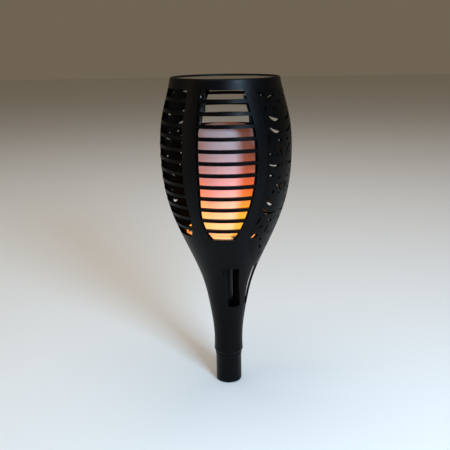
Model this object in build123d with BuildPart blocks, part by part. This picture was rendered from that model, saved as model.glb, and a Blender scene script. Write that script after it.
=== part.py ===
"""Head of a solar flame-effect garden torch.

The origin is the centre of the spigot's lower end, +Z is up and the front window faces -Y.
Azimuths are in degrees about Z, measured from the front towards +X.
Two half shells meet along two opposite ribs.  Each half holds a slatted grille on either side of a
scroll panel, and both are pierced by drain slots in the neck.  A lift-out solar cap closes the top,
the flame unit stands on a deck inside, and the battery hangs below it in the neck.
"""
import os
from math import cos, pi, radians, sin, tan

from build123d import *

os.makedirs("parts", exist_ok=True)

# ---- driving dimensions, mm and degrees ----
HEAD_HEIGHT = 296.0
RIB_AZIMUTH = -32.0
WALL = 2.4
NECK_WALL = 1.6
CLEARANCE = 0.15

# outer silhouette, from the end of the stem sleeve to the rim: (height, radius)
SILHOUETTE = [
    (33, 14.0), (56, 14.25), (80, 17.7), (104, 22.9), (128, 32.0), (152, 42.9),
    (176, 52.3), (200, 58.0), (228, 60.2), (260, 57.9), (284, 51.8), (295, 49.4),
]
SLEEVE_END = 31.0
STEM_BORE = 11.65
STEM_BORE_TOP = 68.0

RIM_BORE = 46.8
CAP_LEDGE_RADIUS = 44.0
CAP_LEDGE_TOP = 288.8
CAP_LEDGE_THICK = 1.6

SLOT_COUNT = 13
SLOT_PITCH = 10.3
SLOT_TOP = 286.8
BAR_HEIGHT = 3.0
BAR_DEPTH = 3.6
WINDOW_BOTTOM = SLOT_TOP - SLOT_COUNT * SLOT_PITCH + BAR_HEIGHT
WINDOW_TO_RIB = 32.0
WINDOW_INNER_EDGE = 6.8
# outer edge of a slatted window: (height, angle from the rib's centre)
WINDOW_OUTER_EDGE = [(287, 50.0), (268, 54.4), (246, 57.7), (226, 58.4), (198, 56.2), (178, 51.6),
                     (166, 47.0)]
WINDOW_TOE = 41.0
WINDOW_HEEL = 5.0

SCROLL_TOP = SLOT_TOP
SCROLL_TIP = 126.0
# half-width of a scroll panel across its chord: (height, half-width)
SCROLL_EDGE = [(SCROLL_TOP, 24.4), (262, 23.9), (226, 23.0), (198, 23.9), (172, 25.3), (156, 23.6)]
FLANGE = 1.6
FLANGE_DEPTH = 4.3
LADDER_REVEAL = 2.2

# drain slots lean to one side as they go down: (azimuth, left edge at the foot, right edge at the foot)
NECK_SLOTS = [(8, -2.2, 9.1), (70, -3.8, 4.4), (116, -4.2, 4.4), (188, -2.2, 9.1), (250, -3.8, 4.4)]
NECK_SLOT_TOP = 124.0
NECK_SLOT_BOTTOM = 82.5
NECK_SLOT_TOP_EDGES = (-8.8, 7.0)

DECK_LEDGE_TOP = 149.5
DECK_LEDGE_THICK = 2.5
DECK_LEDGE_RADIUS = 33.0
DECK_RADIUS = 37.1
DECK_THICK = 2.5
DECK_TOP = DECK_LEDGE_TOP + DECK_THICK
DECK_SCREW_RADIUS = 34.6
DECK_SCREW_AZIMUTHS = [10, 106, 202, 286]
RING_RADIUS = 38.0
M3_SHANK = 1.5
M3_HEAD = 2.75

CASE_SCREWS = [(281.0, 48.3), (134.0, 29.4)]
CASE_BOSS = 3.0
CASE_HEAD_BOSS = 6.0
CASE_THREAD_BOSS = 8.0

DIFFUSER_RADIUS = 29.5
DIFFUSER_WALL = 1.2
DIFFUSER_TOP = 255.0
DIFFUSER_SHOULDER = 247.5
DIFFUSER_FLANGE = 31.6
DIFFUSER_FLANGE_THICK = 1.5
RING_THICK = 3.5

CORE_RADIUS = 12.0
CORE_WALL = 1.6
CORE_TOP = 246.0
CORE_SPIGOT_TOP = 160.0
FLEX_THICK = 0.3
FLEX_BOTTOM = 162.0
FLEX_TOP = 240.0
LED_COLUMNS = 12
LED_ROWS = 8
LED_SIZE = (2.8, 0.8, 3.5)

TUBE_OFFSET = 4.5
TUBE_AZIMUTH = -60.0
TUBE_RADIUS = 8.5
TUBE_BORE = 7.4
TUBE_BOTTOM = 84.0
TUBE_FLANGE = 13.5
CELL_RADIUS = 7.05
CELL_BOTTOM = 90.0
CELL_LENGTH = 50.0

BOARD_RADIUS = 24.0
BOARD_BOTTOM = 137.4
BOARD_THICK = 1.6
BOARD_TOP = BOARD_BOTTOM + BOARD_THICK
BOARD_SCREW_RADIUS = 19.5
BOARD_SCREW_AZIMUTHS = [58, 238]

BUTTON_HEIGHT = 142.8
BUTTON_RADIUS = 4.4
BUTTON_FIT = 0.05
BUTTON_PROUD = 1.6
BUTTON_PAD_FACE = 40.8
BUTTON_PAD_BACK = 34.0
BUTTON_PAD_RADIUS = 6.2
BUTTON_FLANGE = 5.3
SWITCH_FACE = 24.2
PLUNGER_RADIUS = 1.75
PLUNGER_REACH = 3.2

CAP_RADIUS = 46.5
CAP_TOP = 295.0
CAP_POCKET_RADIUS = 44.0
CAP_FLOOR = 1.6
LAMINATE_THICK = 1.6
SEAL_RADIUS = 0.75
SEAL_HEIGHT = 292.0

SOCKET_RADIUS = 40.4
SOCKET_WIDTH = 7.0
SOCKET_DEPTH = 6.4
SOCKET_BOTTOM = 280.0
PLUG_BOTTOM = 268.0

LEAD_RADIUS = 1.1
# the lead's way down the rib: (radius, height)
LEAD_ROUTE = [(40.4, 268), (40.4, 260), (46.8, 251), (54.0, 239), (55.9, 222), (54.3, 203), (50.2, 186),
              (44.6, 172), (39.2, 160), (36.2, 150.5), (32.6, 143.6), (26.8, 140.3), (21.5, 140.3)]

SPIGOT_RADIUS = 12.4
SPIGOT_SHOULDER = 12.8
SPIGOT_TOP = 66.0
SPIGOT_WALL = 2.2
SPIGOT_SCREW_HEIGHT = 48.0
SPIGOT_SCREW_AZIMUTHS = [120, 240]


# ---- geometry shared by several pieces ----
def outward(azimuth):
    """Unit vector pointing straight out from the axis."""
    return Vector(sin(radians(azimuth)), -cos(radians(azimuth)), 0)


def place(radius, azimuth, height):
    """Point at a radius, azimuth and height."""
    return outward(azimuth) * radius + Vector(0, 0, height)


def meridian(azimuth):
    """Plane through the axis: local x is the radius, local y the height."""
    return Plane(origin=(0, 0, 0), x_dir=outward(azimuth), z_dir=outward(azimuth - 90))


def facing(azimuth):
    """Upright plane through the axis, looking out along an azimuth: local x runs to greater azimuth."""
    return Plane(origin=(0, 0, 0), x_dir=outward(azimuth + 90), z_dir=outward(azimuth))


def port(radius, azimuth, height):
    """Upright plane through a point, looking out along its azimuth."""
    return Plane(origin=place(radius, azimuth, height), x_dir=outward(azimuth + 90), z_dir=outward(azimuth))


def level(radius, azimuth, height):
    """Level plane at a point, its local x pointing outwards."""
    return Plane(origin=place(radius, azimuth, height), x_dir=outward(azimuth), z_dir=(0, 0, 1))


SILHOUETTE_EDGE = Spline(*[(radius, height) for height, radius in SILHOUETTE])


def body_radius(height):
    """Outer radius of the body at a height, found by halving along the silhouette."""
    low, high = 0.0, 1.0
    for _ in range(40):
        middle = (low + high) / 2
        if (SILHOUETTE_EDGE @ middle).Y < height:
            low = middle
        else:
            high = middle
    return (SILHOUETTE_EDGE @ low).X


SKIN_HEIGHTS = [292, 276, 260, 244, 228, 212, 196, 180, 164, 148, 132, 118]


def skin(depth, thickness, azimuth, sweep):
    """Layer of the body wall that starts at a depth below the outside, swept about the axis."""
    with BuildPart() as layer:
        with BuildSketch(meridian(azimuth)):
            with BuildLine():
                outer = Spline(*[(body_radius(h) - depth, h) for h in SKIN_HEIGHTS])
                inner = Spline(*[(body_radius(h) - depth - thickness, h) for h in SKIN_HEIGHTS])
                Line(outer @ 0, inner @ 0)
                Line(outer @ 1, inner @ 1)
            make_face()
        revolve(axis=Axis.Z, revolution_arc=sweep)
    return layer.part


def window_outline(hand, grow):
    """Outline of a slatted window, grown outwards; hand is 1 when the rib is on its left."""
    lean = radians(WINDOW_TO_RIB)
    inner_angle = radians(WINDOW_INNER_EDGE) - lean
    top = min(WINDOW_OUTER_EDGE[0][0] + grow, SLOT_TOP + 0.1)
    bottom = WINDOW_BOTTOM - grow
    inner_heights = [top, 250, 228, 200, 170]
    inner = [(hand * (body_radius(h) * sin(inner_angle) - grow), h) for h in inner_heights]
    heel = (hand * (body_radius(bottom) * sin(inner_angle) + WINDOW_HEEL - grow), bottom)
    toe = (hand * (body_radius(bottom) * sin(radians(WINDOW_TOE) - lean) + grow), bottom)
    outer = [
        (hand * (body_radius(h) * sin(radians(a) - lean) + grow), min(h, top)) for h, a in WINDOW_OUTER_EDGE
    ]
    with BuildSketch() as outline:
        with BuildLine():
            Line(inner[0], outer[0])
            Spline(*outer, toe)
            Line(toe, heel)
            Spline(heel, *reversed(inner))
        make_face()
    return outline.sketch


def scroll_outline(grow):
    """Outline of a scroll panel: nearly straight sides and a pointed foot."""
    top = min(SCROLL_TOP + grow, SLOT_TOP + 0.1)
    side = [(SCROLL_EDGE[0][1] + grow, top)] + [(half + grow, h) for h, half in SCROLL_EDGE[1:]]
    tip = (0, SCROLL_TIP - grow)
    with BuildSketch() as outline:
        with BuildLine():
            Line((-side[0][0], top), (side[0][0], top))
            Spline(*side, tip, tangents=[(0, -1), (-1, -0.55)])
            Spline(*[(-x, y) for x, y in side], tip, tangents=[(0, -1), (1, -0.55)])
        make_face()
    return outline.sketch


def crescent(x, y, radius, start, arc, thickness):
    """Horn-tipped slot between two arcs that share their ends."""
    ends = [(x + radius * cos(radians(a)), y + radius * sin(radians(a))) for a in (start, start + arc)]
    middle = radians(start + arc / 2)
    bulges = [radius, radius - thickness]
    backs = [(x + r * cos(middle), y + r * sin(middle)) for r in bulges]
    with BuildSketch() as slot:
        with BuildLine():
            ThreePointArc(ends[0], backs[0], ends[1])
            ThreePointArc(ends[0], backs[1], ends[1])
        make_face()
    return slot.sketch


def lens(x, y, length, width, angle):
    """Pointed slot between two equal arcs."""
    along = (cos(radians(angle)) * length / 2, sin(radians(angle)) * length / 2)
    across = (-sin(radians(angle)) * width / 2, cos(radians(angle)) * width / 2)
    ends = [(x - along[0], y - along[1]), (x + along[0], y + along[1])]
    with BuildSketch() as slot:
        with BuildLine():
            ThreePointArc(ends[0], (x + across[0], y + across[1]), ends[1])
            ThreePointArc(ends[0], (x - across[0], y - across[1]), ends[1])
        make_face()
    return slot.sketch


def fasteners(places, shank_radius, shank_length, head_radius, head_height):
    """Pan-head screws at a list of planes, each plane under the head and facing out of it."""
    with BuildPart() as screws:
        for seat in places:
            with BuildSketch(seat):
                Circle(shank_radius)
            extrude(amount=-shank_length)
            with BuildSketch(seat):
                Circle(head_radius)
            head = extrude(amount=head_height)
            fillet(head.faces().sort_by(Axis(seat.origin, seat.z_dir))[-1].edges(), head_height * 0.45)
            with BuildSketch(seat.offset(head_height)):
                RegularPolygon(head_radius * 0.45, 6)
            extrude(amount=-head_height * 0.6, mode=Mode.SUBTRACT)
    return screws.part


# ---- half shells: moulded in two, joined along the ribs ----
def wall_at(height):
    """Thickness of the body wall: it thins evenly from the cone to the neck."""
    share = min(max((height - NECK_SLOT_TOP + 12) / 36, 0), 1)
    return NECK_WALL + (WALL - NECK_WALL) * share


def half_shell(start, slots):
    """One moulded half, from its first rib to the opposite one."""
    with BuildPart() as half:
        ledge_bottom = CAP_LEDGE_TOP - CAP_LEDGE_THICK
        inner_heights = [ledge_bottom, 272, 256, 240, 228, 212, 196, 180, 164, 148, 132, 116, 100, 84]
        with BuildSketch(meridian(start)):
            with BuildLine():
                outer = Spline(*[(radius, height) for height, radius in SILHOUETTE])
                inner = Spline(*[(body_radius(h) - wall_at(h), h) for h in inner_heights])
                Polyline(outer @ 1, (48.7, HEAD_HEIGHT), (47.3, HEAD_HEIGHT), (RIM_BORE, HEAD_HEIGHT - 0.6),
                         (RIM_BORE, CAP_LEDGE_TOP), (CAP_LEDGE_RADIUS, CAP_LEDGE_TOP),
                         (CAP_LEDGE_RADIUS, ledge_bottom), inner @ 0)
                Polyline(inner @ 1, (STEM_BORE, STEM_BORE_TOP), (STEM_BORE, SLEEVE_END), (13.2, SLEEVE_END),
                         outer @ 0)
            make_face()
        revolve(axis=Axis.Z, revolution_arc=180)

        # deck ledge and the bosses under it
        with BuildSketch(meridian(start)):
            with Locations(((DECK_LEDGE_RADIUS + body_radius(DECK_LEDGE_TOP) - 1) / 2,
                            DECK_LEDGE_TOP - DECK_LEDGE_THICK / 2)):
                Rectangle(body_radius(DECK_LEDGE_TOP) - 1 - DECK_LEDGE_RADIUS - 1.3, DECK_LEDGE_THICK)
        revolve(axis=Axis.Z, revolution_arc=180)
        deck_screws_here = [a for a in DECK_SCREW_AZIMUTHS if 0 < (a - start) % 360 < 180]
        for azimuth in deck_screws_here:
            with BuildSketch(level(DECK_SCREW_RADIUS, azimuth, DECK_LEDGE_TOP)):
                Circle(CASE_BOSS + 0.1)
            extrude(amount=-5)

        # bosses for the screws that join the halves
        for height, radius in CASE_SCREWS:
            for rib, length in ((start, CASE_HEAD_BOSS), (start + 180, CASE_THREAD_BOSS)):
                seat = Plane(origin=place(radius, rib, height), x_dir=(0, 0, 1), z_dir=outward(start + 90))
                with BuildSketch(seat):
                    Circle(CASE_BOSS)
                extrude(amount=length)
                with BuildSketch(seat):
                    Circle(M3_SHANK + 0.05)
                extrude(amount=length, mode=Mode.SUBTRACT)
                with BuildSketch(seat.offset(length)):
                    Circle(M3_HEAD + 0.25)
                extrude(amount=2.6, mode=Mode.SUBTRACT)

        # windows on either side of the scroll panel's opening
        for azimuth, hand in ((start + WINDOW_TO_RIB, 1), (start + 180 - WINDOW_TO_RIB, -1)):
            with BuildSketch(facing(azimuth)):
                add(window_outline(hand, 0))
            extrude(amount=70, mode=Mode.SUBTRACT)
        with BuildSketch(facing(start + 90)):
            add(scroll_outline(0))
        extrude(amount=70, mode=Mode.SUBTRACT)

        # drain slots through the neck
        for azimuth, left_foot, right_foot in slots:
            with BuildSketch(facing(azimuth)) as slot:
                with BuildLine():
                    Polyline((NECK_SLOT_TOP_EDGES[0], NECK_SLOT_TOP), (NECK_SLOT_TOP_EDGES[1], NECK_SLOT_TOP),
                             (right_foot, NECK_SLOT_BOTTOM), (left_foot, NECK_SLOT_BOTTOM), close=True)
                make_face()
                fillet(slot.vertices(), 1.5)
            extrude(amount=45, mode=Mode.SUBTRACT)

        # screw holes for the deck and the spigot, and the lead's way past the deck ledge
        for azimuth in deck_screws_here:
            with BuildSketch(level(DECK_SCREW_RADIUS, azimuth, DECK_LEDGE_TOP)):
                Circle(M3_SHANK + 0.05)
            extrude(amount=-5, mode=Mode.SUBTRACT)
        for azimuth in [a for a in SPIGOT_SCREW_AZIMUTHS if 0 < (a - start) % 360 < 180]:
            with BuildSketch(port(8, azimuth, SPIGOT_SCREW_HEIGHT)):
                Circle(M3_SHANK + 0.05)
            extrude(amount=10, mode=Mode.SUBTRACT)
            with BuildSketch(port(12.9, azimuth, SPIGOT_SCREW_HEIGHT)):
                Circle(M3_HEAD + 0.15)
            extrude(amount=4, mode=Mode.SUBTRACT)
        with BuildSketch(level(36.2, RIB_AZIMUTH, DECK_LEDGE_TOP)):
            Rectangle(6.8, 5.0)
        extrude(amount=-DECK_LEDGE_THICK, mode=Mode.SUBTRACT)
    return half.part


def slots_between(start):
    """Neck slots whose middle lies in the half that starts at a rib."""
    return [slot for slot in NECK_SLOTS if 0 < (slot[0] - start) % 360 < 180]


with BuildPart() as shell_right:
    add(half_shell(RIB_AZIMUTH, slots_between(RIB_AZIMUTH)))
shell_right.part.label = "shell_right"
export_step(shell_right.part, "parts/shell_right.step")

# the left half also carries the switch pad, on the back of the cone
with BuildPart() as shell_left:
    add(half_shell(RIB_AZIMUTH + 180, slots_between(RIB_AZIMUTH + 180)))
    with BuildSketch(port(BUTTON_PAD_BACK, 180, BUTTON_HEIGHT)):
        Circle(BUTTON_PAD_RADIUS)
    extrude(amount=BUTTON_PAD_FACE - BUTTON_PAD_BACK)
    with BuildSketch(port(BUTTON_PAD_BACK - 8, 180, BUTTON_HEIGHT)):
        Circle(BUTTON_FLANGE + 0.4)
    extrude(amount=8, mode=Mode.SUBTRACT)
    with BuildSketch(port(BUTTON_PAD_BACK, 180, BUTTON_HEIGHT)):
        Circle(BUTTON_RADIUS + BUTTON_FIT)
    extrude(amount=12, mode=Mode.SUBTRACT)
shell_left.part.label = "shell_left"
export_step(shell_left.part, "parts/shell_left.step")


# ---- slatted grilles: twelve bars on a ladder frame behind the wall ----
def grille(rib, hand):
    """Grille beside a rib; hand is 1 on the rib's greater-azimuth side."""
    azimuth = rib + hand * WINDOW_TO_RIB
    first = azimuth - 40
    with BuildPart() as bars:
        add(skin(0, BAR_DEPTH, first, 80))
        with BuildSketch(facing(azimuth)):
            for index in range(1, SLOT_COUNT):
                with Locations((0, SLOT_TOP - index * SLOT_PITCH + BAR_HEIGHT / 2)):
                    Rectangle(80, BAR_HEIGHT)
            add(window_outline(hand, -CLEARANCE), mode=Mode.INTERSECT)
        extrude(amount=70, mode=Mode.INTERSECT)
    with BuildPart() as ladder:
        add(skin(WALL + CLEARANCE, FLANGE_DEPTH - WALL - CLEARANCE, first, 80))
        with BuildSketch(facing(azimuth)):
            add(window_outline(hand, FLANGE))
            add(window_outline(hand, -LADDER_REVEAL), mode=Mode.SUBTRACT)
            with Locations((0, -LADDER_REVEAL)):
                add(window_outline(hand, -LADDER_REVEAL), mode=Mode.SUBTRACT)
            with Locations((0, SLOT_TOP)):
                Rectangle(80, 9, mode=Mode.SUBTRACT)
        extrude(amount=70, mode=Mode.INTERSECT)
    with BuildPart() as joined:
        add(bars.part)
        add(ladder.part)
        # the ladder is notched round the boss of the upper case screw
        height, radius = CASE_SCREWS[0]
        with BuildSketch(Plane(origin=place(radius, rib, height), x_dir=(0, 0, 1), z_dir=outward(rib + 90))):
            Circle(CASE_BOSS + 0.6)
        extrude(amount=11, both=True, mode=Mode.SUBTRACT)
    return joined.part


for grille_name, grille_rib, grille_hand in (
    ("grille_front", RIB_AZIMUTH, 1),
    ("grille_left", RIB_AZIMUTH, -1),
    ("grille_rear_right", RIB_AZIMUTH + 180, -1),
    ("grille_rear_left", RIB_AZIMUTH + 180, 1),
):
    with BuildPart() as slatted:
        add(grille(grille_rib, grille_hand))
    slatted.part.label = grille_name
    export_step(slatted.part, f"parts/{grille_name}.step")


# ---- scroll panels: pierced plates, mirrored about their centre line ----
def scroll_cuts():
    """Cut-outs on one side of a scroll panel's centre line, in tiers from the top."""
    return [
        lens(-19.8, 283.2, 6.6, 3.4, -14),
        lens(-5.8, 282.8, 5.0, 1.3, 78),
        crescent(-8.6, 270.5, 11.0, 70, 84, 1.7),
        lens(-19.2, 270.6, 6.4, 2.4, 84),
        crescent(-8.6, 270.5, 11.0, 200, 100, 3.0),
        lens(-9.0, 270.6, 3.4, 1.8, 0),
        lens(-2.2, 275.8, 3.6, 2.2, 70),
        crescent(-8.4, 262.0, 12.6, 204, 88, 2.8),
        lens(-20.2, 246.0, 9.0, 1.8, 88),
        lens(-6.6, 243.2, 5.2, 2.4, -8),
        crescent(-13.2, 230.0, 9.2, -20, 128, 2.2),
        crescent(-13.2, 229.4, 9.2, 205, 120, 2.2),
        lens(-11.0, 231.2, 3.4, 2.6, 40),
        lens(-18.4, 232.4, 4.4, 1.4, -12),
        lens(-4.2, 222.0, 6.0, 1.6, 62),
        lens(-17.2, 213.6, 5.6, 1.8, -10),
        lens(-7.2, 210.4, 4.6, 1.6, 18),
        lens(-2.8, 204.4, 4.0, 1.8, 64),
        crescent(-10.6, 195.0, 9.4, 168, 118, 2.8),
        crescent(-10.6, 195.6, 9.4, 14, 76, 2.0),
        lens(-13.4, 198.6, 4.6, 3.0, 22),
        lens(-5.6, 196.8, 3.8, 1.6, -24),
        crescent(-10.4, 190.4, 13.0, 194, 112, 2.4),
        lens(-21.6, 173.2, 7.6, 2.4, 76),
        lens(-7.4, 171.2, 5.2, 2.4, -24),
        lens(-17.0, 166.2, 6.0, 2.2, 24),
        crescent(-17.4, 163.2, 9.6, -34, 66, 2.2),
        lens(-19.6, 157.8, 5.8, 4.6, 24),
        lens(-11.2, 153.4, 4.6, 2.2, -12),
        lens(-3.4, 158.6, 5.4, 1.8, -58),
        lens(-6.6, 144.8, 8.0, 2.2, -52),
        lens(-2.6, 136.8, 5.4, 1.6, -62),
    ]


def scroll_panel(azimuth):
    """Pierced plate flush with the wall, with a flange behind its opening."""
    first = azimuth - 40
    with BuildPart() as plate:
        add(skin(0, WALL, first, 80))
        with BuildSketch(facing(azimuth)):
            add(scroll_outline(-CLEARANCE))
        extrude(amount=70, mode=Mode.INTERSECT)
    with BuildPart() as lip:
        add(skin(WALL - 0.1, FLANGE_DEPTH - WALL + 0.1, first, 80))
        with BuildSketch(facing(azimuth)):
            add(scroll_outline(-CLEARANCE))
            add(scroll_outline(-1.6), mode=Mode.SUBTRACT)
        extrude(amount=70, mode=Mode.INTERSECT)
    with BuildPart() as flange:
        add(skin(WALL + CLEARANCE, FLANGE_DEPTH - WALL - CLEARANCE, first, 80))
        with BuildSketch(facing(azimuth)):
            add(scroll_outline(FLANGE))
            add(scroll_outline(-1.0), mode=Mode.SUBTRACT)
            with Locations((0, SLOT_TOP + 4)):
                Rectangle(80, 9, mode=Mode.SUBTRACT)
            with Locations((0, DECK_LEDGE_TOP - 2.5)):
                Rectangle(80, 6, mode=Mode.SUBTRACT)
        extrude(amount=70, mode=Mode.INTERSECT)
    with BuildPart() as pierced:
        add(plate.part)
        add(lip.part)
        add(flange.part)
        with BuildSketch(facing(azimuth)):
            for cut in scroll_cuts():
                add(cut)
                add(mirror(cut, about=Plane.YZ))
        extrude(amount=70, mode=Mode.SUBTRACT)
    return pierced.part


for panel_name, panel_azimuth in (
    ("scroll_panel_right", RIB_AZIMUTH + 90),
    ("scroll_panel_left", RIB_AZIMUTH + 270),
):
    with BuildPart() as panel:
        add(scroll_panel(panel_azimuth))
    panel.part.label = panel_name
    export_step(panel.part, f"parts/{panel_name}.step")


# ---- case screws: the heads lie on the greater-azimuth side of each rib ----
case_seats = []
for rib_azimuth in (RIB_AZIMUTH, RIB_AZIMUTH + 180):
    for seat_height, seat_radius in CASE_SCREWS:
        head_point = place(seat_radius, rib_azimuth, seat_height) + outward(rib_azimuth + 90) * CASE_HEAD_BOSS
        case_seats.append(Plane(origin=head_point, x_dir=(0, 0, 1), z_dir=outward(rib_azimuth + 90)))
with BuildPart() as case_screws:
    add(fasteners(case_seats, M3_SHANK, 12.0, M3_HEAD, 2.0))
case_screws.part.label = "case_screws"
export_step(case_screws.part, "parts/case_screws.step")

# ---- spigot: plugs into the pole's tube, its upper length fills the stem ----
with BuildPart() as pole_spigot:
    with BuildSketch(Plane.XZ):
        with BuildLine():
            Polyline((2.0, 0), (SPIGOT_RADIUS - 1.6, 0))
            ThreePointArc((SPIGOT_RADIUS - 1.6, 0), (SPIGOT_RADIUS - 0.47, 0.47), (SPIGOT_RADIUS, 1.6))
            Polyline((SPIGOT_RADIUS, 1.6), (SPIGOT_RADIUS, 26.5), (SPIGOT_SHOULDER, 28.0),
                     (SPIGOT_SHOULDER, SLEEVE_END), (STEM_BORE - BUTTON_FIT, SLEEVE_END),
                     (STEM_BORE - BUTTON_FIT, SPIGOT_TOP), (STEM_BORE - SPIGOT_WALL, SPIGOT_TOP),
                     (STEM_BORE - SPIGOT_WALL, 3.0), (2.0, 3.0), (2.0, 0))
        make_face()
    revolve(axis=Axis.Z)
    for screw_azimuth in SPIGOT_SCREW_AZIMUTHS:
        with BuildSketch(port(5, screw_azimuth, SPIGOT_SCREW_HEIGHT)):
            Circle(M3_SHANK + 0.05)
        extrude(amount=10, mode=Mode.SUBTRACT)
pole_spigot.part.label = "pole_spigot"
export_step(pole_spigot.part, "parts/pole_spigot.step")

spigot_screw_seats = [port(12.9, a, SPIGOT_SCREW_HEIGHT) for a in SPIGOT_SCREW_AZIMUTHS]
with BuildPart() as spigot_screws:
    add(fasteners(spigot_screw_seats, M3_SHANK, 5.0, M3_HEAD, 1.2))
spigot_screws.part.label = "spigot_screws"
export_step(spigot_screws.part, "parts/spigot_screws.step")

# ---- light deck: carries the diffuser, the LED core, the battery tube and the board ----
tube_centre = outward(TUBE_AZIMUTH) * TUBE_OFFSET
tube_plane = Plane(origin=(tube_centre.X, tube_centre.Y, 0), x_dir=outward(TUBE_AZIMUTH), z_dir=(0, 0, 1))
tube_screw_points = [(0, 11.0), (0, -11.0)]
led_lead_points = [place(9.0, azimuth, 0) for azimuth in (140, 160)]
with BuildPart() as light_deck:
    with BuildSketch(Plane.XY.offset(DECK_LEDGE_TOP)):
        Circle(DECK_RADIUS)
        with Locations([place(DECK_SCREW_RADIUS, a, 0) for a in DECK_SCREW_AZIMUTHS]):
            Circle(M3_SHANK + 0.1, mode=Mode.SUBTRACT)
        with Locations(Location(place(36.4, RIB_AZIMUTH, 0), (0, 0, RIB_AZIMUTH))):
            Rectangle(5.0, 7.0, mode=Mode.SUBTRACT)
    extrude(amount=DECK_THICK)
    # spigot that the LED core is pressed on
    with BuildSketch(Plane.XY.offset(DECK_TOP)):
        Circle(CORE_RADIUS - CORE_WALL - 0.05)
    extrude(amount=CORE_SPIGOT_TOP - DECK_TOP)
    # posts for the driver board
    with BuildSketch(Plane.XY.offset(DECK_LEDGE_TOP)):
        with Locations([place(BOARD_SCREW_RADIUS, a, 0) for a in BOARD_SCREW_AZIMUTHS]):
            Circle(2.6)
    extrude(amount=-(DECK_LEDGE_TOP - BOARD_TOP))
    with BuildSketch(Plane.XY.offset(BOARD_TOP)):
        with Locations([place(BOARD_SCREW_RADIUS, a, 0) for a in BOARD_SCREW_AZIMUTHS]):
            Circle(1.05)
    extrude(amount=6, mode=Mode.SUBTRACT)
    # screw holes for the battery tube and the way through for the LED leads
    with BuildSketch(tube_plane.offset(DECK_LEDGE_TOP)):
        with Locations(tube_screw_points):
            Circle(1.05)
    extrude(amount=DECK_THICK, mode=Mode.SUBTRACT)
    with BuildSketch(Plane.XY.offset(DECK_LEDGE_TOP)):
        with Locations(led_lead_points):
            Circle(0.9)
    extrude(amount=12, mode=Mode.SUBTRACT)
light_deck.part.label = "light_deck"
export_step(light_deck.part, "parts/light_deck.step")

# ---- ring that clamps the diffuser's foot to the deck ----
RING_TOP = DECK_TOP + RING_THICK
with BuildPart() as clamp_ring:
    with BuildSketch(Plane.XY.offset(DECK_TOP)):
        Circle(RING_RADIUS)
        Circle(DIFFUSER_FLANGE + CLEARANCE, mode=Mode.SUBTRACT)
    extrude(amount=RING_THICK)
    with BuildSketch(Plane.XY.offset(DECK_TOP + DIFFUSER_FLANGE_THICK)):
        Circle(RING_RADIUS)
        Circle(DIFFUSER_RADIUS + 0.4, mode=Mode.SUBTRACT)
    extrude(amount=RING_THICK - DIFFUSER_FLANGE_THICK)
    with BuildSketch(Plane.XY.offset(DECK_TOP)):
        with Locations([place(DECK_SCREW_RADIUS, a, 0) for a in DECK_SCREW_AZIMUTHS]):
            Circle(M3_SHANK + 0.1)
        with Locations(Location(place(37.2, RIB_AZIMUTH, 0), (0, 0, RIB_AZIMUTH))):
            Rectangle(5.0, 7.0)
    extrude(amount=RING_THICK, mode=Mode.SUBTRACT)
clamp_ring.part.label = "clamp_ring"
export_step(clamp_ring.part, "parts/clamp_ring.step")

deck_screw_seats = [level(DECK_SCREW_RADIUS, a, RING_TOP) for a in DECK_SCREW_AZIMUTHS]
with BuildPart() as deck_screws:
    add(fasteners(deck_screw_seats, M3_SHANK, 10.0, M3_HEAD, 1.7))
deck_screws.part.label = "deck_screws"
export_step(deck_screws.part, "parts/deck_screws.step")

# ---- diffuser: frosted cup with a low dome and a foot flange ----
with BuildPart() as diffuser:
    with BuildSketch(Plane.XZ):
        with BuildLine():
            inner_radius = DIFFUSER_RADIUS - DIFFUSER_WALL
            dome = ThreePointArc((0, DIFFUSER_TOP), (DIFFUSER_RADIUS * 0.52, DIFFUSER_TOP - 1.5),
                                 (DIFFUSER_RADIUS * 0.9, DIFFUSER_TOP - 4.5))
            side = Line((DIFFUSER_RADIUS, DIFFUSER_SHOULDER),
                        (DIFFUSER_RADIUS, DECK_TOP + DIFFUSER_FLANGE_THICK))
            TangentArc(dome @ 1, side @ 0, tangent=dome % 1)
            Polyline(side @ 1, (DIFFUSER_FLANGE, DECK_TOP + DIFFUSER_FLANGE_THICK),
                     (DIFFUSER_FLANGE, DECK_TOP), (inner_radius, DECK_TOP),
                     (inner_radius, DIFFUSER_SHOULDER - 0.5))
            Spline((inner_radius, DIFFUSER_SHOULDER - 0.5), (inner_radius * 0.88, DIFFUSER_TOP - 6.3),
                   (0, DIFFUSER_TOP - DIFFUSER_WALL), tangents=[(0, 1), (-1, 0)])
            Line((0, DIFFUSER_TOP - DIFFUSER_WALL), (0, DIFFUSER_TOP))
        make_face()
    revolve(axis=Axis.Z)
diffuser.part.label = "diffuser"
export_step(diffuser.part, "parts/diffuser.step")

# ---- LED core, its wrapped flexible board and the LEDs ----
with BuildPart() as led_core:
    with BuildSketch(Plane.XY.offset(DECK_TOP)):
        Circle(CORE_RADIUS)
        Circle(CORE_RADIUS - CORE_WALL, mode=Mode.SUBTRACT)
    extrude(amount=CORE_TOP - DECK_TOP)
led_core.part.label = "led_core"
export_step(led_core.part, "parts/led_core.step")

with BuildPart() as led_board:
    with BuildSketch(Plane.XY.offset(FLEX_BOTTOM)):
        Circle(CORE_RADIUS + FLEX_THICK)
        Circle(CORE_RADIUS, mode=Mode.SUBTRACT)
    extrude(amount=FLEX_TOP - FLEX_BOTTOM)
led_board.part.label = "led_board"
export_step(led_board.part, "parts/led_board.step")

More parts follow.
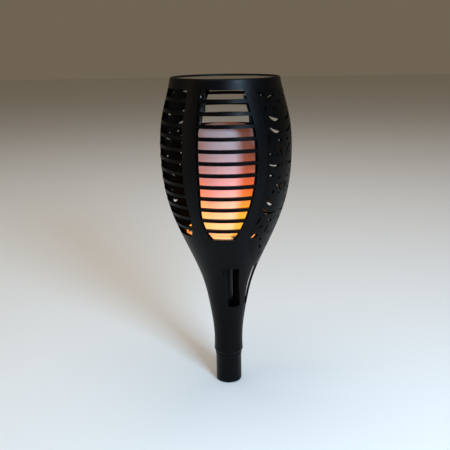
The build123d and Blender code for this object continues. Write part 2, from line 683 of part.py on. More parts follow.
LED_PITCH = (FLEX_TOP - FLEX_BOTTOM) / LED_ROWS
with BuildPart() as led_chips:
    for row in range(LED_ROWS):
        for column in range(LED_COLUMNS):
            led_azimuth = 360 * (column + 0.5 * (row % 2)) / LED_COLUMNS
            led_height = FLEX_BOTTOM + (row + 0.5) * LED_PITCH
            with BuildSketch(port(CORE_RADIUS + FLEX_THICK, led_azimuth, led_height)):
                Rectangle(LED_SIZE[0], LED_SIZE[2])
            extrude(amount=LED_SIZE[1])
led_chips.part.label = "led_chips"
export_step(led_chips.part, "parts/led_chips.step")

# ---- battery tube under the deck, with its cell, contacts and straps ----
with BuildPart() as battery_tube:
    with BuildSketch(tube_plane.offset(TUBE_BOTTOM)):
        Circle(TUBE_RADIUS)
    extrude(amount=DECK_LEDGE_TOP - TUBE_BOTTOM)
    fillet(battery_tube.edges().group_by(Axis.Z)[0], 1.2)
    with BuildSketch(tube_plane.offset(DECK_LEDGE_TOP - 2)):
        Rectangle(2 * TUBE_RADIUS, 2 * TUBE_FLANGE)
    extrude(amount=2)
    with BuildSketch(tube_plane.offset(TUBE_BOTTOM + 1.5)):
        Circle(TUBE_BORE)
    extrude(amount=DECK_LEDGE_TOP - TUBE_BOTTOM, mode=Mode.SUBTRACT)
    with BuildSketch(tube_plane.offset(DECK_LEDGE_TOP - 2)):
        with Locations(tube_screw_points):
            Circle(1.15)
    extrude(amount=2, mode=Mode.SUBTRACT)
battery_tube.part.label = "battery_tube"
export_step(battery_tube.part, "parts/battery_tube.step")

tube_screw_seats = [Plane(origin=(tube_plane * Pos(x, y, DECK_LEDGE_TOP - 2)).position, z_dir=(0, 0, -1))
                    for x, y in tube_screw_points]
with BuildPart() as tube_screws:
    add(fasteners(tube_screw_seats, 1.0, 4.2, 1.9, 1.4))
tube_screws.part.label = "tube_screws"
export_step(tube_screws.part, "parts/tube_screws.step")

CELL_TOP = CELL_BOTTOM + CELL_LENGTH
with BuildPart() as battery:
    with BuildSketch(tube_plane.offset(CELL_BOTTOM)):
        Circle(CELL_RADIUS)
    extrude(amount=CELL_LENGTH)
    fillet(battery.edges().group_by(Axis.Z)[0], 0.6)
    fillet(battery.edges().group_by(Axis.Z)[-1], 0.6)
    with BuildSketch(tube_plane.offset(CELL_TOP)):
        Circle(2.8)
    extrude(amount=1.0)
battery.part.label = "battery"
export_step(battery.part, "parts/battery.step")

# sprung negative contact: a base plate with a conical cup that presses on the cell
CONTACT_BASE = TUBE_BOTTOM + 1.5
with BuildPart() as battery_spring:
    with BuildSketch(tube_plane.offset(CONTACT_BASE)):
        Circle(6.6)
    extrude(amount=0.5)
    with BuildSketch(Plane(origin=tube_plane.origin, x_dir=(1, 0, 0), z_dir=(0, -1, 0))):
        with BuildLine():
            Polyline((4.6, CONTACT_BASE + 0.4), (5.4, CONTACT_BASE + 0.4), (3.2, CELL_BOTTOM),
                     (2.4, CELL_BOTTOM), close=True)
        make_face()
    revolve(axis=Axis(tube_plane.origin, (0, 0, 1)))
battery_spring.part.label = "battery_spring"
export_step(battery_spring.part, "parts/battery_spring.step")

PLUG_SEAT = CELL_TOP + 1.5
with BuildPart() as positive_contact:
    with BuildSketch(tube_plane.offset(CELL_TOP + 1.0)):
        Circle(6.4)
    extrude(amount=0.5)
positive_contact.part.label = "positive_contact"
export_step(positive_contact.part, "parts/positive_contact.step")

with BuildPart() as terminal_plug:
    with BuildSketch(tube_plane.offset(PLUG_SEAT)):
        Circle(TUBE_BORE - 0.1)
        Circle(4.6, mode=Mode.SUBTRACT)
    extrude(amount=DECK_LEDGE_TOP - PLUG_SEAT)
    with BuildSketch(tube_plane.offset(PLUG_SEAT)):
        Circle(5.0)
    extrude(amount=1.2)
terminal_plug.part.label = "terminal_plug"
export_step(terminal_plug.part, "parts/terminal_plug.step")

# ---- driver board round the tube, with its parts and screws ----
with BuildPart() as driver_board:
    with BuildSketch(Plane.XY.offset(BOARD_BOTTOM)):
        Circle(BOARD_RADIUS)
        with Locations([place(BOARD_SCREW_RADIUS, a, 0) for a in BOARD_SCREW_AZIMUTHS]):
            Circle(1.15, mode=Mode.SUBTRACT)
    extrude(amount=BOARD_THICK)
    with BuildSketch(tube_plane.offset(BOARD_BOTTOM)):
        Circle(TUBE_RADIUS + 0.5)
    extrude(amount=BOARD_THICK, mode=Mode.SUBTRACT)
driver_board.part.label = "driver_board"
export_step(driver_board.part, "parts/driver_board.step")

# driver chip, charge chip, inductor and two capacitors: (radius, azimuth, length, width, height)
BOARD_CHIPS = [(18.5, 96, 6.0, 5.0, 1.6), (17.5, 20, 4.9, 3.9, 1.5), (20.0, 128, 4.2, 4.2, 3.0)]
CAPACITORS = [(19.0, -10), (20.5, 210)]
with BuildPart() as board_parts:
    for chip_radius, chip_azimuth, length, width, height in BOARD_CHIPS:
        with BuildSketch(level(chip_radius, chip_azimuth, BOARD_TOP)):
            Rectangle(length, width)
        extrude(amount=height)
    for can_radius, can_azimuth in CAPACITORS:
        with BuildSketch(level(can_radius, can_azimuth, BOARD_TOP)):
            Circle(2.0)
        extrude(amount=5.0)
board_parts.part.label = "board_parts"
export_step(board_parts.part, "parts/board_parts.step")

board_screw_seats = [Plane(origin=place(BOARD_SCREW_RADIUS, a, BOARD_BOTTOM), z_dir=(0, 0, -1))
                     for a in BOARD_SCREW_AZIMUTHS]
with BuildPart() as board_screws:
    add(fasteners(board_screw_seats, 1.0, 5.5, 1.9, 1.4))
board_screws.part.label = "board_screws"
export_step(board_screws.part, "parts/board_screws.step")

# ---- power switch: a latching switch on the board, its plunger and the button on the back ----
SWITCH_BACK = SWITCH_FACE - 6.0
with BuildPart() as power_switch:
    with BuildSketch(Plane(origin=(0, SWITCH_BACK, BUTTON_HEIGHT), x_dir=(-1, 0, 0), z_dir=(0, 1, 0))):
        Rectangle(7.0, 2 * (BUTTON_HEIGHT - BOARD_TOP))
    extrude(amount=6.0)
    with BuildSketch(port(SWITCH_FACE, 180, BUTTON_HEIGHT)):
        Circle(PLUNGER_RADIUS + BUTTON_FIT)
    extrude(amount=-4.5, mode=Mode.SUBTRACT)
power_switch.part.label = "power_switch"
export_step(power_switch.part, "parts/power_switch.step")

PLUNGER_TIP = SWITCH_FACE + PLUNGER_REACH
with BuildPart() as switch_plunger:
    with BuildSketch(port(SWITCH_FACE - 2.8, 180, BUTTON_HEIGHT)):
        Circle(PLUNGER_RADIUS)
    extrude(amount=PLUNGER_REACH + 2.8)
switch_plunger.part.label = "switch_plunger"
export_step(switch_plunger.part, "parts/switch_plunger.step")

with BuildPart() as switch_button:
    with BuildSketch(port(PLUNGER_TIP + 0.1, 180, BUTTON_HEIGHT)):
        Circle(2.4)
    extrude(amount=BUTTON_PAD_BACK - 2.0 - PLUNGER_TIP)
    with BuildSketch(port(BUTTON_PAD_BACK - 2.0, 180, BUTTON_HEIGHT)):
        Circle(BUTTON_FLANGE)
    extrude(amount=1.9)
    with BuildSketch(port(BUTTON_PAD_BACK - 1.0, 180, BUTTON_HEIGHT)):
        Circle(BUTTON_RADIUS)
    cap_end = extrude(amount=BUTTON_PAD_FACE + BUTTON_PROUD - BUTTON_PAD_BACK + 1.0)
    fillet(cap_end.faces().sort_by(Axis.Y)[-1].edges(), 0.8)
switch_button.part.label = "switch_button"
export_step(switch_button.part, "parts/switch_button.step")

# ---- solar cap: lifts out of the rim ----
with BuildPart() as cap_tray:
    with BuildSketch(Plane.XZ):
        with BuildLine():
            Polyline((0, CAP_LEDGE_TOP), (CAP_RADIUS, CAP_LEDGE_TOP), (CAP_RADIUS, SEAL_HEIGHT - 0.8),
                     (CAP_RADIUS - 1.2, SEAL_HEIGHT - 0.8), (CAP_RADIUS - 1.2, SEAL_HEIGHT + 0.8),
                     (CAP_RADIUS, SEAL_HEIGHT + 0.8), (CAP_RADIUS, CAP_TOP - 0.5),
                     (CAP_RADIUS - 0.5, CAP_TOP), (CAP_POCKET_RADIUS, CAP_TOP),
                     (CAP_POCKET_RADIUS, CAP_LEDGE_TOP + CAP_FLOOR), (0, CAP_LEDGE_TOP + CAP_FLOOR), close=True)
        make_face()
    revolve(axis=Axis.Z)
cap_tray.part.label = "cap_tray"
export_step(cap_tray.part, "parts/cap_tray.step")

LAMINATE_BOTTOM = CAP_LEDGE_TOP + CAP_FLOOR
with BuildPart() as solar_board:
    with BuildSketch(Plane.XY.offset(LAMINATE_BOTTOM)):
        Circle(CAP_POCKET_RADIUS - 0.3)
    extrude(amount=LAMINATE_THICK)
solar_board.part.label = "solar_board"
export_step(solar_board.part, "parts/solar_board.step")

# cell strips laid side by side and cut to the round board
CELL_BASE = LAMINATE_BOTTOM + LAMINATE_THICK
CELL_STRIP = 12.6
with BuildPart() as solar_cells:
    with BuildSketch(Plane.XY.offset(CELL_BASE)):
        Circle(CAP_POCKET_RADIUS - 3.2)
        with GridLocations(CELL_STRIP + 0.5, 0, 7, 1):
            with Locations((CELL_STRIP / 2 + 0.25, 0)):
                Rectangle(0.5, 100, mode=Mode.SUBTRACT)
        Rectangle(100, 0.6, mode=Mode.SUBTRACT)
    extrude(amount=0.3)
solar_cells.part.label = "solar_cells"
export_step(solar_cells.part, "parts/solar_cells.step")

with BuildPart() as panel_cover:
    with BuildSketch(Plane.XY.offset(CELL_BASE + 0.3)):
        Circle(CAP_POCKET_RADIUS - 0.1)
    extrude(amount=CAP_TOP - CELL_BASE - 0.3)
panel_cover.part.label = "panel_cover"
export_step(panel_cover.part, "parts/panel_cover.step")

with BuildPart() as cap_seal:
    with BuildSketch(Plane.XZ):
        with Locations((CAP_RADIUS - 1.2 + SEAL_RADIUS, SEAL_HEIGHT)):
            Circle(SEAL_RADIUS)
    revolve(axis=Axis.Z)
cap_seal.part.label = "cap_seal"
export_step(cap_seal.part, "parts/cap_seal.step")

# ---- connector under the cap, and the lead down the rib to the board ----
with BuildPart() as cap_socket:
    with BuildSketch(level(SOCKET_RADIUS, RIB_AZIMUTH, SOCKET_BOTTOM)):
        Rectangle(SOCKET_DEPTH, SOCKET_WIDTH)
    extrude(amount=CAP_LEDGE_TOP - SOCKET_BOTTOM)
    with BuildSketch(level(SOCKET_RADIUS, RIB_AZIMUTH, SOCKET_BOTTOM)):
        Rectangle(SOCKET_DEPTH - 2.4, SOCKET_WIDTH - 2.4)
    extrude(amount=5.0, mode=Mode.SUBTRACT)
cap_socket.part.label = "cap_socket"
export_step(cap_socket.part, "parts/cap_socket.step")

with BuildPart() as lead_plug:
    with BuildSketch(level(SOCKET_RADIUS, RIB_AZIMUTH, PLUG_BOTTOM)):
        Rectangle(SOCKET_DEPTH, SOCKET_WIDTH)
    extrude(amount=SOCKET_BOTTOM - 0.2 - PLUG_BOTTOM)
    fillet(lead_plug.edges().filter_by(Axis.Z), 0.6)
    with BuildSketch(level(SOCKET_RADIUS, RIB_AZIMUTH, SOCKET_BOTTOM - 0.2)):
        Rectangle(SOCKET_DEPTH - 3.2, SOCKET_WIDTH - 3.2)
    extrude(amount=4.6)
lead_plug.part.label = "lead_plug"
export_step(lead_plug.part, "parts/lead_plug.step")


def route_radii(points):
    """Corner radii for a route: 0.45 of the shorter run over the tangent of half the turn."""
    radii = []
    for before, here, after in zip(points, points[1:], points[2:]):
        turn = (here - before).get_angle(after - here)
        radii.append(0.45 * min((here - before).length, (after - here).length) / tan(radians(turn / 2)))
    return radii


lead_points = [place(radius, RIB_AZIMUTH, height) for radius, height in LEAD_ROUTE]
lead_radii = route_radii(lead_points)
print("panel lead radii, mm:", [round(radius, 1) for radius in lead_radii])
with BuildPart() as panel_lead:
    with BuildLine() as lead_path:
        FilletPolyline(*lead_points, radius=lead_radii)
    with BuildSketch(Plane(origin=lead_points[0], z_dir=lead_points[1] - lead_points[0])):
        Circle(LEAD_RADIUS)
    sweep(path=lead_path.wires()[0])
print("panel lead volume over section times length:",
      round(panel_lead.part.volume / (pi * LEAD_RADIUS**2 * lead_path.wires()[0].length), 4))
panel_lead.part.label = "panel_lead"
export_step(panel_lead.part, "parts/panel_lead.step")

with BuildPart() as led_leads:
    with BuildSketch(Plane.XY.offset(BOARD_TOP)):
        with Locations(led_lead_points):
            Circle(0.7)
    extrude(amount=FLEX_BOTTOM - BOARD_TOP + 2)
led_leads.part.label = "led_leads"
export_step(led_leads.part, "parts/led_leads.step")
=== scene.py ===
"""Solar flame torch head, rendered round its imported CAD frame."""

from math import pi, radians

import bpy
import numpy as np
from mathutils import Matrix, Vector


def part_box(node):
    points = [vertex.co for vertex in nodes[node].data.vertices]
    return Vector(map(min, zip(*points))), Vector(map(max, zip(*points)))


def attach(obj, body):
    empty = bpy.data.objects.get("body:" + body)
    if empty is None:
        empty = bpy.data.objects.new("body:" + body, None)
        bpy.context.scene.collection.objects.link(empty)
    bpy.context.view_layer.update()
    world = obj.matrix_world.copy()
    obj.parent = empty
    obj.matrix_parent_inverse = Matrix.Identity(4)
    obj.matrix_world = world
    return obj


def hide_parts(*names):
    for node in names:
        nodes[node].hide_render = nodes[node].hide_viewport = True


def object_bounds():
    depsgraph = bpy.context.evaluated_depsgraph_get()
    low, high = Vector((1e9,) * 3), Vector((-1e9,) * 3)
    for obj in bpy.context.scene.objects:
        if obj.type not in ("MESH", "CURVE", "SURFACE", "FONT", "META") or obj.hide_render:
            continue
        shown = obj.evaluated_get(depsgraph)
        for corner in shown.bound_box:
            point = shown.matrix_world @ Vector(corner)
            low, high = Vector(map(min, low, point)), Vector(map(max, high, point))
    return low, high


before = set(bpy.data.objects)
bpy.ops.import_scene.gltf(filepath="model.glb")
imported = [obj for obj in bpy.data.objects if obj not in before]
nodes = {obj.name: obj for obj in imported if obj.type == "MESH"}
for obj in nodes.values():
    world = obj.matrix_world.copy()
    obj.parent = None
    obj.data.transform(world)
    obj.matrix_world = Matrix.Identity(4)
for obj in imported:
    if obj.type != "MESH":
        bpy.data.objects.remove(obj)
cad_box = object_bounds()

# ---- Half shells and spigot ----
# The lantern, neck and stem are two halves moulded in black ABS with a fine spark-eroded surface, screwed
# together along the ribs.  The spigot is a third moulding of the same plastic, held in the stem by screws.


class Finish:
    """A material with its node tree at hand: object coordinates in, one Principled shader out."""

    def __init__(self, name):
        self.material = bpy.data.materials.new(name)
        self.material.use_nodes = True
        self.tree = self.material.node_tree
        self.shader = self.tree.nodes["Principled BSDF"]
        self.place = self.add("ShaderNodeTexCoord").outputs["Object"]

    def add(self, kind, **settings):
        """New node; settings name its properties, or its input sockets with spaces as underscores."""
        node = self.tree.nodes.new(kind)
        for key, value in settings.items():
            if hasattr(node, key):
                setattr(node, key, value)
            else:
                self.feed(value, node.inputs[key.replace("_", " ")])
        return node

    def feed(self, value, socket):
        """Links a socket to another node's output, or sets its plain value."""
        if isinstance(value, bpy.types.NodeSocket):
            self.tree.links.new(value, socket)
        else:
            socket.default_value = value

    def set(self, **sockets):
        """Feeds the shader's own sockets."""
        for key, value in sockets.items():
            self.feed(value, self.shader.inputs[key.replace("_", " ")])

    def noise(self, scale, detail=3.0, roughness=0.5, place=None):
        """Noise value at a scale in repeats per metre."""
        node = self.add("ShaderNodeTexNoise", Scale=scale, Detail=detail, Roughness=roughness)
        self.feed(place or self.place, node.inputs["Vector"])
        return node.outputs["Fac"]

    def math(self, operation, a, b=0.0, c=0.0):
        """One arithmetic step."""
        node = self.add("ShaderNodeMath", operation=operation)
        for value, socket in zip((a, b, c), node.inputs):
            self.feed(value, socket)
        return node.outputs[0]

    def spread(self, value, low, high):
        """Maps a 0 to 1 value to a range."""
        node = self.add("ShaderNodeMapRange")
        self.feed(value, node.inputs["Value"])
        node.inputs["From Min"].default_value = 0.3
        node.inputs["From Max"].default_value = 0.7
        node.inputs["To Min"].default_value = low
        node.inputs["To Max"].default_value = high
        return node.outputs["Result"]

    def ramp(self, value, stops, interpolation="LINEAR"):
        """Colour along a value: stops are (position, (r, g, b))."""
        node = self.add("ShaderNodeValToRGB")
        node.color_ramp.interpolation = interpolation
        elements = node.color_ramp.elements
        while len(elements) < len(stops):
            elements.new(0.5)
        for element, (position, colour) in zip(elements, stops):
            element.position = position
            element.color = (*colour, 1.0)
        self.feed(value, node.inputs["Fac"])
        return node.outputs["Color"]

    def bump(self, height, strength, distance):
        """Bumps the shader's surface by a height value; distance is in metres."""
        node = self.add("ShaderNodeBump", Strength=strength, Distance=distance)
        self.feed(height, node.inputs["Height"])
        self.feed(node.outputs["Normal"], self.shader.inputs["Normal"])

    def coat(self, *names):
        """Puts the material on CAD nodes."""
        for name in names:
            slots = nodes[name].data.materials
            slots.clear()
            slots.append(self.material)


def soften(name, width, turn=35):
    """Merges a CAD node's loose triangles, then rounds every edge that turns by more than turn degrees."""
    node = nodes[name]
    weld = node.modifiers.new("merge", "WELD")
    weld.merge_threshold = 2e-5
    edge = node.modifiers.new("edges", "BEVEL")
    edge.width = width
    edge.segments = 2
    edge.limit_method = "ANGLE"
    edge.angle_limit = radians(turn)
    edge.use_clamp_overlap = True
    edge.harden_normals = True


black_abs = Finish("moulded_black_abs")
grain = black_abs.noise(2600.0, 2.0, 0.6)
cloud = black_abs.noise(22.0, 3.0)
black_abs.set(
    Base_Color=black_abs.ramp(cloud, [
        (0.35, (0.0010, 0.0010, 0.0011)), (0.7, (0.0018, 0.0018, 0.0019)),
    ]),
    Roughness=black_abs.spread(black_abs.noise(60.0, 4.0), 0.34, 0.44),
    Specular_IOR_Level=0.09,
)
black_abs.bump(grain, 0.22, 0.00012)
black_abs.coat("shell_right", "shell_left", "pole_spigot")
soften("pole_spigot", 0.0004)

# ---- Window grilles and scroll panels ----
# Six inserts of the same black ABS: four ladders of twelve slats and two plates pierced with scroll work.
# Each snaps into its opening from inside, so its face lies flush with the shell.

insert_abs = Finish("insert_black_abs")
insert_abs.set(
    Base_Color=insert_abs.ramp(insert_abs.noise(35.0, 3.0), [
        (0.35, (0.0010, 0.0010, 0.0011)), (0.7, (0.0017, 0.0017, 0.0018)),
    ]),
    Roughness=insert_abs.spread(insert_abs.noise(90.0, 4.0), 0.34, 0.44),
    Specular_IOR_Level=0.06,
)
insert_abs.bump(insert_abs.noise(2600.0, 2.0, 0.6), 0.18, 0.00012)
insert_abs.coat("grille_front", "grille_left", "grille_rear_right", "grille_rear_left",
                "scroll_panel_right", "scroll_panel_left")

# ---- Screws ----
# Pan heads: zinc-plated inside, for the deck, tube and board, and blackened where they show, for the case
# and spigot.

zinc = Finish("zinc_plated_steel")
zinc.set(
    Base_Color=zinc.ramp(zinc.noise(240.0, 4.0), [(0.3, (0.46, 0.46, 0.45)), (0.7, (0.62, 0.62, 0.60))]),
    Metallic=1.0,
    Roughness=zinc.spread(zinc.noise(700.0, 4.0), 0.22, 0.38),
)
zinc.bump(zinc.noise(1800.0, 2.0), 0.15, 0.00005)
zinc.coat("deck_screws", "tube_screws", "board_screws")

blackened = Finish("blackened_steel")
blackened.set(
    Base_Color=blackened.ramp(blackened.noise(240.0, 4.0), [
        (0.3, (0.05, 0.05, 0.055)), (0.7, (0.09, 0.09, 0.095)),
    ]),
    Metallic=1.0,
    Roughness=blackened.spread(blackened.noise(700.0, 4.0), 0.20, 0.34),
)
blackened.bump(blackened.noise(1800.0, 2.0), 0.15, 0.00005)
blackened.coat("case_screws", "spigot_screws")

# ---- Diffuser ----
# A frosted cup of milky polycarbonate with a low dome, lit from inside by the flickering rows of LEDs: dull
# orange near the top, brightening to yellow at the foot, with the room's light greying its front.

diffuser_low, diffuser_high = (Vector(corner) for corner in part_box("diffuser"))
cup_foot = diffuser_low.z
cup_top = diffuser_high.z
flange_radius = diffuser_high.x


def turned(name, radii, heights, around=128):
    """Surface of revolution: the point at angle a and station s is (r(s) cos a, r(s) sin a, z(s))."""
    radii = np.asarray(radii, dtype=float)
    heights = np.asarray(heights, dtype=float)
    angles = np.linspace(0, 2 * pi, around, endpoint=False)
    points = np.stack([
        np.outer(radii, np.cos(angles)), np.outer(radii, np.sin(angles)), np.outer(heights, np.ones(around)),
    ], axis=-1).reshape(-1, 3)
    station, step = np.meshgrid(np.arange(len(radii) - 1), np.arange(around), indexing="ij")
    after = (step + 1) % around
    faces = np.stack([
        station * around + step, station * around + after,
        (station + 1) * around + after, (station + 1) * around + step,
    ], axis=-1).reshape(-1, 4)
    return solid(name, points, faces)


def solid(name, points, faces):
    """Mesh object from whole arrays, with doubles merged, normals outwards and smooth shading."""
    import bmesh
    mesh = bpy.data.meshes.new(name)
    mesh.from_pydata(points.tolist(), [], faces.tolist())
    work = bmesh.new()
    work.from_mesh(mesh)
    bmesh.ops.remove_doubles(work, verts=work.verts, dist=1e-6)
    bmesh.ops.dissolve_degenerate(work, edges=work.edges, dist=1e-7)
    bmesh.ops.recalc_face_normals(work, faces=work.faces)
    work.to_mesh(mesh)
    work.free()
    mesh.shade_smooth()
    piece = bpy.data.objects.new(name, mesh)
    bpy.context.scene.collection.objects.link(piece)
    return piece


cup_radius = 0.0295
cup_wall = 0.0012
flange_thick = 0.0015
bend = np.linspace(0, pi / 2, 10)
dome = np.linspace(0, 1, 14)
dome_edge = cup_radius * 0.88
corner = cup_radius - dome_edge
dome_rise = 0.0042
inside_fall = 0.0068
shoulder = cup_top - dome_rise - corner
outside_r = np.concatenate([
    [cup_radius - cup_wall, flange_radius, flange_radius, cup_radius + 0.0004, cup_radius],
    dome_edge + corner * np.cos(bend), dome_edge * (1 - dome[1:]),
])
outside_z = np.concatenate([
    [cup_foot, cup_foot, cup_foot + flange_thick, cup_foot + flange_thick, cup_foot + flange_thick + 0.0004],
    shoulder + corner * np.sin(bend), shoulder + corner + dome_rise * np.sin(dome[1:] * pi / 2),
])
inside_r = np.linspace(0, cup_radius - cup_wall, 14)
inside_z = cup_top - cup_wall - inside_fall * (inside_r / inside_r[-1]) ** 2
cup = turned("diffuser_cup", np.concatenate([outside_r, inside_r, [cup_radius - cup_wall]]),
             np.concatenate([outside_z, inside_z, [cup_foot]]))
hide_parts("diffuser")
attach(cup, "lantern")

frosted = Finish("frosted_polycarbonate")
split = frosted.add("ShaderNodeSeparateXYZ")
frosted.feed(frosted.place, split.inputs["Vector"])
height = frosted.add("ShaderNodeMapRange")
frosted.feed(split.outputs["Z"], height.inputs["Value"])
height.inputs["From Min"].default_value = cup_foot
height.inputs["From Max"].default_value = cup_top
# flame tongues: a slow noise stretched upwards pulls the glow up in places and down in others
stretch = frosted.add("ShaderNodeMapping")
stretch.inputs["Scale"].default_value = (1.0, 1.0, 0.35)
frosted.feed(frosted.place, stretch.inputs["Vector"])
tongues = frosted.noise(45.0, 2.0, 0.5, stretch.outputs["Vector"])
lift = frosted.math("MULTIPLY_ADD", tongues, -0.22, 0.11)
level = frosted.math("ADD", height.outputs["Result"], lift)
glow = frosted.ramp(level, [
    (0.00, (0.50, 0.130, 0.020)), (0.10, (0.62, 0.270, 0.016)), (0.20, (0.60, 0.250, 0.012)),
    (0.30, (0.60, 0.175, 0.008)), (0.40, (0.48, 0.080, 0.004)), (0.50, (0.36, 0.052, 0.008)),
    (0.60, (0.20, 0.036, 0.010)), (0.75, (0.10, 0.024, 0.010)), (1.00, (0.055, 0.014, 0.007)),
])
frosted.set(
    Base_Color=frosted.ramp(frosted.noise(80.0, 3.0), [(0.3, (0.44, 0.43, 0.45)), (0.7, (0.50, 0.49, 0.51))]),
    Roughness=0.42,
    Specular_IOR_Level=0.25,
    Emission_Color=glow,
    Emission_Strength=2.0,
)
frosted.bump(frosted.noise(1500.0, 2.0), 0.12, 0.0001)
cup.data.materials.append(frosted.material)

# ---- Light deck, clamp ring and LED core ----
# The deck and core are white ABS, and the clamp ring is frosted like the cup it holds, so it glows too.  The
# LEDs sit in rows on a flexible board wrapped round the core.

white_abs = Finish("white_abs")
white_abs.set(
    Base_Color=white_abs.ramp(white_abs.noise(50.0, 3.0), [
        (0.3, (0.60, 0.59, 0.56)), (0.7, (0.68, 0.67, 0.64)),
    ]),
    Roughness=white_abs.spread(white_abs.noise(120.0, 3.0), 0.34, 0.46),
)
white_abs.bump(white_abs.noise(2200.0, 2.0), 0.15, 0.0001)
white_abs.coat("light_deck", "led_core", "terminal_plug", "switch_plunger")
frosted.coat("clamp_ring")

flex = Finish("white_flexible_board")
split = flex.add("ShaderNodeSeparateXYZ")
flex.feed(flex.place, split.inputs["Vector"])
led_row_pitch = 0.00975
rows = flex.math("SINE", flex.math("MULTIPLY", split.outputs["Z"], 2 * pi / led_row_pitch))
flex.set(
    Base_Color=flex.ramp(rows, [(0.90, (0.70, 0.69, 0.65)), (0.96, (0.62, 0.42, 0.22))]),
    Roughness=0.36,
)
flex.bump(flex.noise(900.0, 2.0), 0.1, 0.0001)
flex.coat("led_board")

phosphor = Finish("led_phosphor")
phosphor.set(
    Base_Color=phosphor.ramp(phosphor.noise(900.0, 2.0), [
        (0.3, (0.80, 0.50, 0.08)), (0.7, (0.90, 0.62, 0.12)),
    ]),
    Roughness=0.25,
    Emission_Color=(1.0, 0.42, 0.10, 1.0),
    Emission_Strength=2.0,
)
phosphor.bump(phosphor.noise(2500.0, 1.0), 0.1, 0.00005)
phosphor.coat("led_chips")

# ---- Battery and driver board ----
# A sleeved lithium cell stands in a black tube in the neck.  The green board round the tube carries the
# driver's packages and the push switch.

tube_abs = Finish("battery_tube_abs")
tube_abs.set(
    Base_Color=tube_abs.ramp(tube_abs.noise(40.0, 3.0), [
        (0.35, (0.0016, 0.0017, 0.0019)), (0.7, (0.0026, 0.0027, 0.0029)),
    ]),
    Roughness=tube_abs.spread(tube_abs.noise(110.0, 3.0), 0.30, 0.40),
    Specular_IOR_Level=0.10,
)
tube_abs.bump(tube_abs.noise(2400.0, 2.0), 0.15, 0.0001)
tube_abs.coat("battery_tube")

sleeve = Finish("cell_sleeve")
sleeve.set(
    Base_Color=sleeve.ramp(sleeve.noise(30.0, 2.0), [(0.3, (0.02, 0.10, 0.30)), (0.7, (0.03, 0.13, 0.36))]),
    Roughness=0.24,
    Coat_Weight=0.4,
)
sleeve.bump(sleeve.noise(260.0, 3.0), 0.25, 0.0002)
sleeve.coat("battery")

nickel = Finish("nickel_plated_steel")
nickel.set(
    Base_Color=nickel.ramp(nickel.noise(300.0, 3.0), [(0.3, (0.60, 0.57, 0.50)), (0.7, (0.70, 0.67, 0.60))]),
    Metallic=1.0,
    Roughness=nickel.spread(nickel.noise(500.0, 3.0), 0.16, 0.28),
)
nickel.bump(nickel.noise(1500.0, 2.0), 0.1, 0.00005)
nickel.coat("battery_spring", "positive_contact")

green = Finish("board_solder_mask")
traces = green.add("ShaderNodeTexBrick", Scale=260.0, Mortar_Size=0.03, Color1=(0.012, 0.085, 0.030, 1.0),
                   Color2=(0.014, 0.095, 0.034, 1.0), Mortar=(0.030, 0.160, 0.060, 1.0))
green.feed(green.place, traces.inputs["Vector"])
green.set(Base_Color=traces.outputs["Color"], Roughness=0.30, Coat_Weight=0.3)
green.bump(traces.outputs["Fac"], 0.2, 0.00005)
green.coat("driver_board")

package = Finish("moulded_package")
package.set(
    Base_Color=package.ramp(package.noise(700.0, 2.0), [
        (0.3, (0.012, 0.012, 0.012)), (0.7, (0.022, 0.022, 0.022)),
    ]),
    Roughness=package.spread(package.noise(900.0, 2.0), 0.45, 0.6),
)
package.bump(package.noise(3000.0, 2.0), 0.2, 0.00005)
package.coat("board_parts", "power_switch", "cap_socket", "lead_plug")

# ---- Switch button ----
# A soft black button with a fine grain, pressed in from the back of the cone.

rubber = Finish("button_rubber")
rubber.set(
    Base_Color=rubber.ramp(rubber.noise(120.0, 3.0), [
        (0.3, (0.018, 0.018, 0.019)), (0.7, (0.027, 0.027, 0.028)),
    ]),
    Roughness=rubber.spread(rubber.noise(400.0, 3.0), 0.62, 0.75),
    Sheen_Weight=0.15,
)
rubber.bump(rubber.noise(2000.0, 3.0), 0.3, 0.0001)
rubber.coat("switch_button", "cap_seal")

# ---- Solar cap ----
# A black tray with dark silicon cells under clear potting resin, printed with fine collector lines.

insert_abs.coat("cap_tray")

laminate = Finish("solar_laminate")
laminate.set(
    Base_Color=laminate.ramp(laminate.noise(90.0, 3.0), [
        (0.3, (0.010, 0.012, 0.020)), (0.7, (0.016, 0.018, 0.028)),
    ]),
    Roughness=0.4,
)
laminate.bump(laminate.noise(1200.0, 2.0), 0.1, 0.00005)
laminate.coat("solar_board")

silicon = Finish("silicon_cells")
split = silicon.add("ShaderNodeSeparateXYZ")
silicon.feed(silicon.place, split.inputs["Vector"])
finger_pitch = 0.0018
finger_wave = silicon.math("SINE", silicon.math("MULTIPLY", split.outputs["Y"], 2 * pi / finger_pitch))
fingers = silicon.math("GREATER_THAN", finger_wave, 0.93)
crystal = silicon.add("ShaderNodeTexVoronoi", Scale=220.0)
silicon.feed(silicon.place, crystal.inputs["Vector"])
wafer = silicon.ramp(crystal.outputs["Distance"], [
    (0.0, (0.004, 0.008, 0.030)), (0.6, (0.010, 0.018, 0.060)),
])
lines = silicon.add("ShaderNodeMix", data_type="RGBA")
silicon.feed(fingers, lines.inputs[0])
silicon.feed(wafer, lines.inputs[6])
lines.inputs[7].default_value = (0.28, 0.29, 0.31, 1.0)
silicon.set(Base_Color=lines.outputs[2], Roughness=0.22, Metallic=0.2)
silicon.bump(fingers, 0.2, 0.00003)
silicon.coat("solar_cells")

resin = Finish("clear_potting_resin")
resin.set(
    Base_Color=(0.97, 0.96, 0.92, 1.0),
    Roughness=0.05,
    IOR=1.5,
    Transmission_Weight=1.0,
)
resin.bump(resin.noise(60.0, 2.0), 0.08, 0.0003)
resin.coat("panel_cover")

# ---- Leads ----
# Thin PVC-insulated leads: a black one from the cap down the rib to the board, a red pair up to the LEDs.

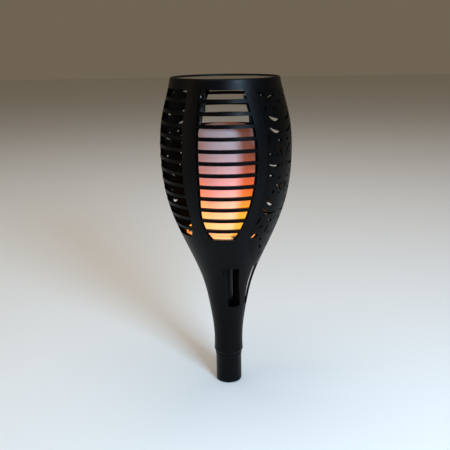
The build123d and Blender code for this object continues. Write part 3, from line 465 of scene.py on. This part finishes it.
for colour_name, dark, light, lead_nodes in (
    ("black_pvc", (0.012, 0.012, 0.012), (0.020, 0.020, 0.020), ["panel_lead"]),
    ("red_pvc", (0.30, 0.012, 0.008), (0.42, 0.020, 0.012), ["led_leads"]),
):
    pvc = Finish(colour_name)
    pvc.set(Base_Color=pvc.ramp(pvc.noise(200.0, 2.0), [(0.3, dark), (0.7, light)]), Roughness=0.35)
    pvc.bump(pvc.noise(1800.0, 2.0), 0.15, 0.00005)
    pvc.coat(*lead_nodes)

# ---- Studio ----
# A pale floor under the spigot, a large key light above and right of the front, and soft fill all round.

studio_floor = bpy.data.objects.new("studio_floor", bpy.data.meshes.new("studio_floor"))
floor_half = 6.0
studio_floor.data.from_pydata(
    [(-floor_half, -floor_half, 0), (floor_half, -floor_half, 0),
     (floor_half, floor_half, 0), (-floor_half, floor_half, 0)],
    [], [(0, 1, 2, 3)])
bpy.context.scene.collection.objects.link(studio_floor)
pale = Finish("pale_floor")
pale.set(Base_Color=(0.86, 0.86, 0.85, 1.0), Roughness=0.9)
studio_floor.data.materials.append(pale.material)

bpy.context.scene.view_settings.view_transform = "Standard"
world = bpy.data.worlds.new("studio_air")
bpy.context.scene.world = world
world.use_nodes = True
world.node_tree.nodes["Background"].inputs["Color"].default_value = (1.0, 0.80, 0.56, 1.0)
world.node_tree.nodes["Background"].inputs["Strength"].default_value = 0.16


def softbox(name, position, target, width, height_, power, colour):
    """Rectangular area light aimed at a point."""
    lamp = bpy.data.lights.new(name, "AREA")
    lamp.shape = "RECTANGLE"
    lamp.size = width
    lamp.size_y = height_
    lamp.energy = power
    lamp.color = colour
    holder = bpy.data.objects.new(name, lamp)
    holder.location = position
    holder.rotation_euler = (Vector(target) - Vector(position)).to_track_quat("-Z", "Y").to_euler()
    bpy.context.scene.collection.objects.link(holder)


head_middle = (0.0, 0.0, 0.22)
softbox("key", (0.42, -0.85, 0.58), head_middle, 0.30, 0.30, 13.0, (0.50, 0.75, 1.0))
softbox("fill", (-1.3, -0.3, 0.5), head_middle, 0.4, 0.9, 1.6, (1.0, 0.74, 0.44))
softbox("overhead", (0.0, 0.1, 1.6), (0.0, 0.1, 0.0), 1.6, 1.6, 15.0, (1.0, 0.98, 0.95))

# ---- Camera ----
# Just above the rim and in front, pitched 15 degrees down, with the small roll the head is shown at.

camera_data = bpy.data.cameras.new("camera")
camera = bpy.data.objects.new("camera", camera_data)
bpy.context.scene.collection.objects.link(camera)
bpy.context.scene.camera = camera
head_height = cad_box[1][2]
camera_distance = 0.626
camera_above_rim = 0.030
camera_pitch = radians(15.0)
camera_roll = radians(-0.8)
sensor_width = 36.0
focal_over_width = 685.6 / 450
camera_data.sensor_width = sensor_width
camera_data.lens = sensor_width * focal_over_width
camera_data.shift_x = -0.0045
camera_data.clip_start = 0.01
camera.matrix_world = (
    Matrix.Translation((0.0, -camera_distance, head_height + camera_above_rim))
    @ Matrix.Rotation(pi / 2 - camera_pitch, 4, "X")
    @ Matrix.Rotation(camera_roll, 4, "Z")
)
